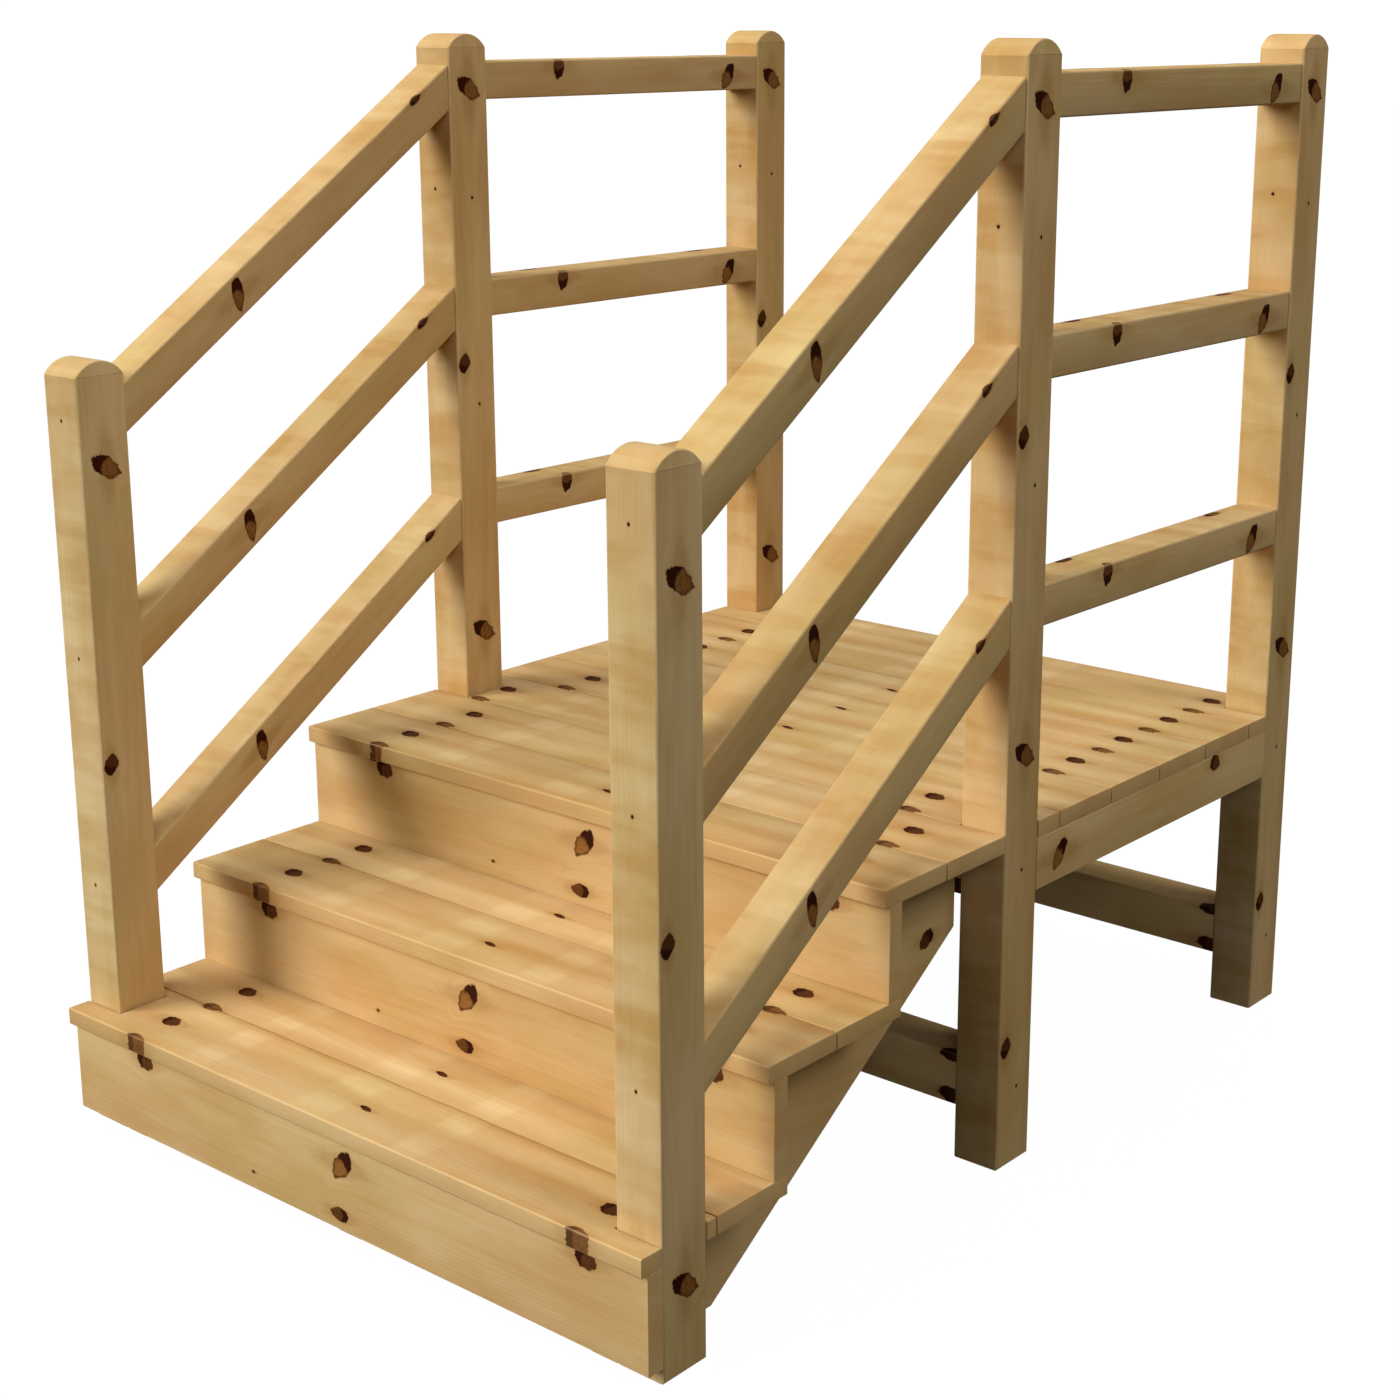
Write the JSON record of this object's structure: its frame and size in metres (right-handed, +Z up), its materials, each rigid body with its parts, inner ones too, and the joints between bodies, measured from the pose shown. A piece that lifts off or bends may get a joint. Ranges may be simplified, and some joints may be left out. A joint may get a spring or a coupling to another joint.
{
  "type": "wooden deck stairs",
  "caption": "Open timber steps up to a small raised platform, with square round-topped posts and sloped and level rails down both sides.",
  "frame": {"origin": "ground level, at the middle of the footprint", "axes": "+X across the stairs to the climber's right, +Y the way the stairs climb, +Z up"},
  "size_m": [1.22, 1.687, 1.681],
  "materials": {
    "post_wood": "planed knotty pine, eased edges, bare or clear oiled",
    "rail_wood": "planed knotty pine, eased edges, bare or clear oiled",
    "board_wood": "planed knotty pine boards, eased edges, bare or clear oiled",
    "frame_wood": "planed knotty pine, sheltered and a little darker"
  },
  "bodies": {
    "root": {"front_post_left": "post_wood", "front_post_right": "post_wood", "middle_post_left": "post_wood", "middle_post_right": "post_wood", "rear_post_left": "post_wood", "rear_post_right": "post_wood", "stringer_left": "frame_wood", "stringer_middle": "frame_wood", "stringer_right": "frame_wood", "riser_1": "board_wood", "riser_2": "board_wood", "riser_3": "board_wood", "tread_1_front_board": "board_wood", "tread_1_back_board": "board_wood", "tread_2_front_board": "board_wood", "tread_2_back_board": "board_wood", "platform_board_1": "board_wood", "platform_board_2": "board_wood", "platform_board_3": "board_wood", "platform_board_4": "board_wood", "platform_board_5": "board_wood", "platform_board_6": "board_wood", "platform_board_7": "board_wood", "platform_board_8": "board_wood", "header_joist": "frame_wood", "rear_joist": "frame_wood", "side_joist_left": "frame_wood", "side_joist_right": "frame_wood", "middle_joist": "frame_wood", "low_beam_middle": "frame_wood", "low_beam_rear": "frame_wood", "stair_rail_top_left": "rail_wood", "stair_rail_mid_left": "rail_wood", "stair_rail_low_left": "rail_wood", "stair_rail_top_right": "rail_wood", "stair_rail_mid_right": "rail_wood", "stair_rail_low_right": "rail_wood", "deck_rail_top_left": "rail_wood", "deck_rail_mid_left": "rail_wood", "deck_rail_low_left": "rail_wood", "deck_rail_top_right": "rail_wood", "deck_rail_mid_right": "rail_wood", "deck_rail_low_right": "rail_wood"}
  },
  "joints": []
}
